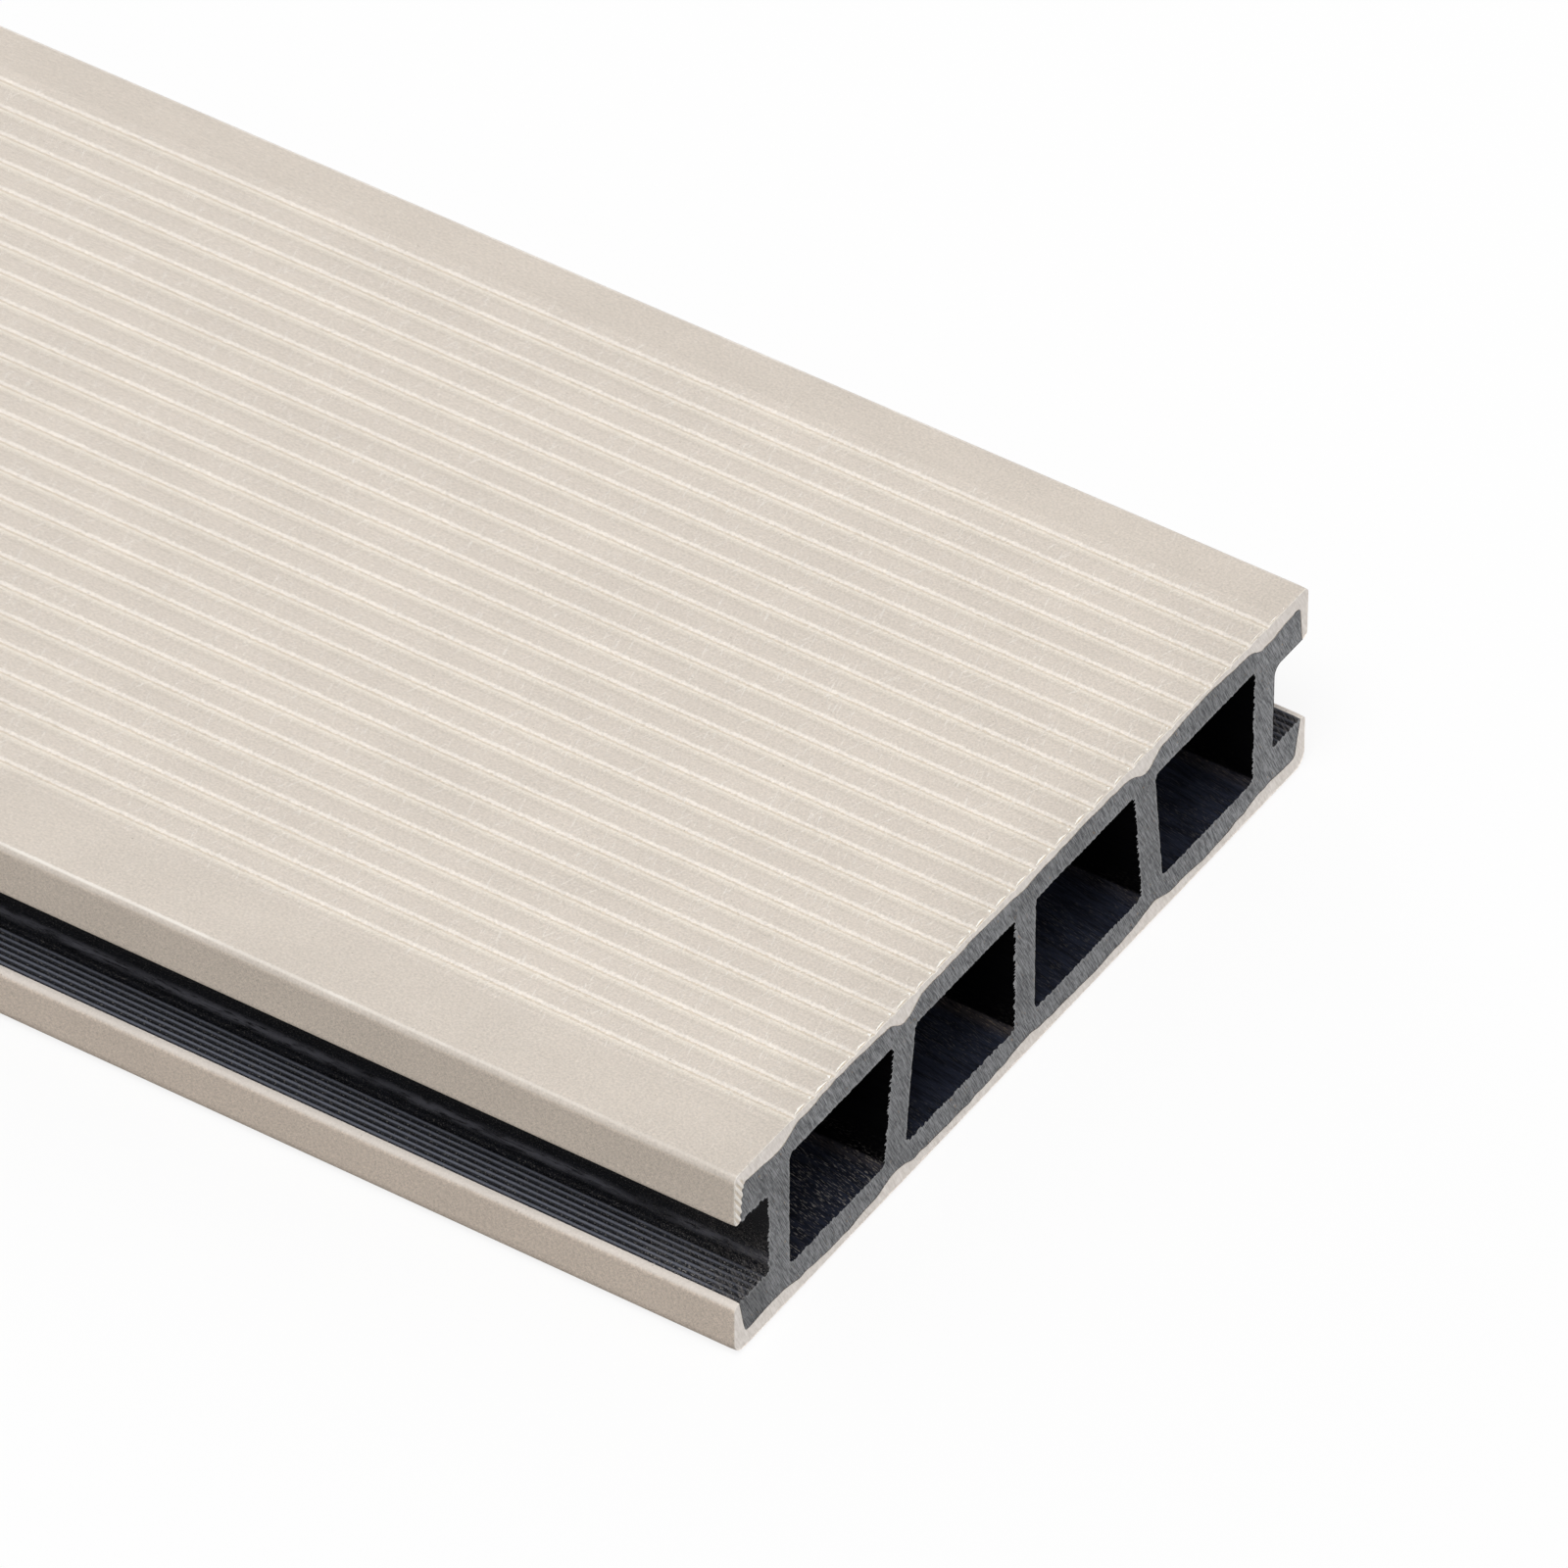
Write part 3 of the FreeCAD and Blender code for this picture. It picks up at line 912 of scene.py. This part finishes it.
def nearness(points, loops, reach=0.55):
    """1 on the open skin of the loops, falling in a straight line to 0 at a reach from it."""
    close = np.full(len(points), reach)
    for skin in (loop[loop[:, 2] > 0, :2] for loop in loops):
        gap = np.hypot(points[:, 0, None] - skin[:, 0], points[:, 1, None] - skin[:, 1])
        close = np.minimum(close, gap.min(axis=1))
    return 1 - close / reach


print("edges sharper than", round(np.degrees(sharp_turn)), "degrees stay sharp")

# %% Building the layers
fuzz_seed = 20


def layer(name, node, loops, fuzz_heights, skins, cut):
    """A layer of the board: its loops carried along, both ends closed, and its plain solid hidden."""
    seeds = range(fuzz_seed, fuzz_seed + len(loops))
    fuzz = [fuzz_of(loop, height, seed) for loop, height, seed in zip(loops, fuzz_heights, seeds)]
    rings = [rings_of(loop, torn * loop[:, 2]) for loop, torn in zip(loops, fuzz)]
    count = len(rings[0])
    starts = np.cumsum([0] + [count * len(loop) for loop in loops])
    sides = np.vstack([side_faces(count, len(loop), start) for loop, start in zip(loops, starts)])
    triangles, inner = end_faces([ring[-1][:, 1:] for ring in rings])
    near = np.column_stack([half_length - cut_inset + saw_relief(inner[:, 0], inner[:, 1]), inner])
    points = np.vstack([ring.reshape(-1, 3) for ring in rings] + [near * [-1, 1, 1], near])
    inner_ids = starts[-1] + np.arange(len(inner))
    far_ids = np.append(ring_ids(loops, starts, 0), inner_ids)
    near_ids = np.append(ring_ids(loops, starts, count - 1), inner_ids + len(inner))
    faces = sides.tolist() + near_ids[triangles].tolist() + far_ids[triangles[:, ::-1]].tolist()

    finishes = list(dict.fromkeys([*skins, cut]))
    side_counts = [(count - 1) * len(loop) for loop in loops]
    side_finish = np.repeat([finishes.index(skin) for skin in skins], side_counts)
    finish_index = np.append(side_finish, np.full(2 * len(triangles), finishes.index(cut)))
    glow = np.append(edge_glow, edge_glow[::-1])
    ring_rim = np.concatenate([np.outer(glow, loop[:, 2]).ravel() for loop in loops])
    rim = np.append(ring_rim, np.tile(nearness(inner, loops), 2))
    made = add_piece(name, points, faces, finishes, finish_index, rim)
    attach(made, "root")
    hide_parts(node)


core_skins = [clip_skin] + [chamber_skin] * len(chambers)
core_fuzz = [0.4, 0.45, 0.35, 0.6, 0.6]
layer("board_core", "core", [core_outline, *chambers], core_fuzz, core_skins, sawn_core)
layer("board_top_cap", "top_cap", [top_outline], [0.0], [brushed], sawn_cap)
layer("board_bottom_cap", "bottom_cap", [bottom_outline], [0.0], [brushed], sawn_cap)

# %% [markdown]
# ## Burr along the cut
# Behind every groove the blade tears a long and a short sliver of the cap loose, which stay lying along the
# top of the cut, at both ends of the board and thinner towards its back edge. They could be scattered copies
# of one object. As one array, every sliver gets its own length, lean and thickness: a spindle, which is a
# lopsided diamond carried along a line and drawn in to a point at both ends. Its side towards the cut is
# painted tan, as the shadow line between the sliver and the cut.

# %% Spindles
diamond_along, diamond_up = [0.7, 0.0, -2.8, 0.0], [0.0, 1.0, 0.0, -1.0]
tip_girth = 0.03


def slivers(start, finish, high, thick, seed, stations=8):
    """Spindles from start to finish, one for each row, in mm.

    At a share s of its length a sliver has the girth sin(pi s), a little uneven, with a tip at both ends.
    Its line runs straight from start to finish. Gives points and faces, the sides before the tips.
    """
    count = len(start)
    share = np.linspace(0, 1, stations)
    girth = np.sin(np.pi * share) * (0.6 + 0.4 * np.random.default_rng(seed).random((count, stations)))
    girth[:, [0, -1]] = tip_girth
    line = start[:, None, :] + (finish - start)[:, None, :] * share[:, None]
    points = np.repeat(line[:, :, None, :], 4, axis=2)
    points[..., 0] += (thick[:, None] * girth)[:, :, None] * diamond_along
    points[..., 2] += (high[:, None] * girth)[:, :, None] * diamond_up
    ring = (np.arange(count)[:, None, None] * stations + np.arange(stations - 1)[:, None]) * 4
    here, beside = ring + np.arange(4), ring + (np.arange(4) + 1) % 4
    sides = np.stack([here, here + 4, beside + 4, beside], axis=-1).reshape(-1, 4)
    first = np.arange(count)[:, None] * stations * 4
    tips = np.vstack([first + np.arange(4), first + (stations - 1) * 4 + np.array([3, 2, 1, 0])])
    return points.reshape(-1, 3), np.vstack([sides, tips])


def torn_and_shadow_finish(name, dark, pale, roughness):
    """Torn cap, and the painted shadow beside it: a shredded grain between two colours."""
    material, place = new_finish(name)
    shred = grain(place, (0.3, 0.5, 0.2), detail=2)
    torn_colour = blended(between(shred, 0.3, 0.7), dark, pale)
    surface(place, torn_colour, roughness, height=shred, depth=0.04)
    return material


burr_finish = torn_and_shadow_finish("torn_burr", colour(246, 242, 235), colour(254, 252, 248), roughness=0.7)
# The tan side of each sliver is a painted shadow.
shadow_side_finish = torn_and_shadow_finish("torn_shadow_side", colour(196, 176, 150), colour(220, 204, 184), roughness=0.8)

# %% Burr slivers
burr_inset, burr_sink = 0.52, 0.005
draw = np.random.default_rng(41)
long_start = first_groove + groove_pitch * np.arange(groove_count) + 0.5
burr_start = np.append(long_start, long_start + draw.uniform(3.2, 3.5, groove_count))
burr_count = len(burr_start)
is_long = np.arange(burr_count) < groove_count
burr_length = np.where(is_long, draw.uniform(2.3, 3.1, burr_count), draw.uniform(0.4, 0.7, burr_count))
burr_high = draw.uniform(0.045, 0.06, burr_count)
thinner_behind = 1 - 0.55 * smooth((burr_start - 5) / 40)
burr_thick = draw.uniform(0.19, 0.26, burr_count) * thinner_behind
burr_along = half_length - burr_inset + draw.uniform(0, 0.08, burr_count)
burr_lean = draw.uniform(0.0, 0.2, burr_count)
burr_from = np.column_stack([burr_along, burr_start, board_height - burr_sink - burr_high])
burr_to = burr_from + np.column_stack([-burr_lean, burr_length, np.zeros(burr_count)])

near_points, near_faces = slivers(burr_from, burr_to, burr_high, burr_thick, seed=43)
burr_points = np.vstack([near_points, near_points * [-1, 1, 1]])
burr_faces = np.vstack([near_faces, near_faces[:, ::-1] + len(near_points)]).tolist()
shadow_side_faces = np.resize([1, 0, 0, 1], len(near_faces) - 2 * burr_count)
burr_index = np.tile(np.append(shadow_side_faces, np.zeros(2 * burr_count, int)), 2)
burr_rim = np.zeros(len(burr_points))
burr = add_piece("saw_burr", burr_points, burr_faces, (burr_finish, shadow_side_finish), burr_index, burr_rim)
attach(burr, "root")
print(2 * burr_count, "slivers at the two ends")

# %% [markdown]
# ## Floor and light
# The board lies on a plain white floor under soft light. Softboxes would need placing and tuning one by one.
# Three far lamps are simpler: the key from above and in front, a fill on the sawn end, and a weak one from
# behind. To the camera most of the floor's light is a glow, so that it looks white, and the rest is a matte
# surface that takes the board's shadow.

# %% Floor
floor_glow, floor_half, floor_up = 0.85, 30.0, -0.0003


def seen_by_eye(place):
    """1 for rays that the camera sees straight, off a gloss or through glass, and 0 for other light."""
    path = place.node("ShaderNodeLightPath").socket.node
    names = ("Is Camera Ray", "Is Glossy Ray", "Is Transmission Ray")
    straight, glossy, through = (Wire(place.tree, path.outputs[name]) for name in names)
    total = straight + glossy + through
    return total.math("MINIMUM", total, 1.0)


floor_finish, place = new_finish("studio_floor")
seen = seen_by_eye(place)
floor_colour = blended(seen, (0.35, 0.35, 0.35, 1), (0.95, 0.95, 0.95, 1))
matte = place.node("ShaderNodeBsdfDiffuse", {}, {"Color": floor_colour})
glow = place.node("ShaderNodeEmission", {}, {"Color": (1, 1, 1, 1), "Strength": 1.0})
mixed = place.node("ShaderNodeMixShader", {}, {0: seen * floor_glow, 1: matte, 2: glow})
place.node("ShaderNodeOutputMaterial", {}, {"Surface": mixed})

floor_corners = np.array([(-1, -1, 0), (1, -1, 0), (1, 1, 0), (-1, 1, 0)]) * floor_half + [0, 0, floor_up]
floor_mesh = bpy.data.meshes.new("studio_floor")
floor_mesh.from_pydata(floor_corners.tolist(), [], [(0, 1, 2, 3)])
floor_mesh.materials.append(floor_finish)
placed("studio_floor", floor_mesh)
print("floor of", 2 * floor_half, "m")

# %% World and lamps
sky_light = 0.32
world = bpy.data.worlds.new("studio")
bpy.context.scene.world = world
world.use_nodes = True
world.node_tree.nodes.clear()
sky = Wire(world.node_tree)
sky_strength = seen_by_eye(sky) * (1 - sky_light) + sky_light
sky_glow = sky.node("ShaderNodeBackground", {}, {"Color": (1, 1, 1, 1), "Strength": sky_strength})
sky.node("ShaderNodeOutputWorld", {}, {"Surface": sky_glow})


def lamp(name, towards, strength, spread):
    """A far lamp: the direction that it stands in, its strength, and how wide it looks, in degrees."""
    data = bpy.data.lights.new(name, "SUN")
    data.energy = strength
    data.angle = np.radians(spread)
    back = unit(np.array(towards, float))
    side = unit(np.cross([0.0, 1.0, 0.0], back))
    placed(name, data).matrix_world = standing(side, np.cross(back, side), back)


lamp("key", (0.12, -0.42, 1.0), strength=1.87, spread=30)
lamp("fill", (1.0, 0.12, 0.22), strength=1.45, spread=40)
lamp("back", (-0.85, 0.45, 0.12), strength=0.9, spread=30)
bpy.context.scene.view_settings.view_transform = "Standard"
print("world and", len(bpy.data.lights), "lamps")

# %% [markdown]
# The finished board has to stay inside the box of the packed model.
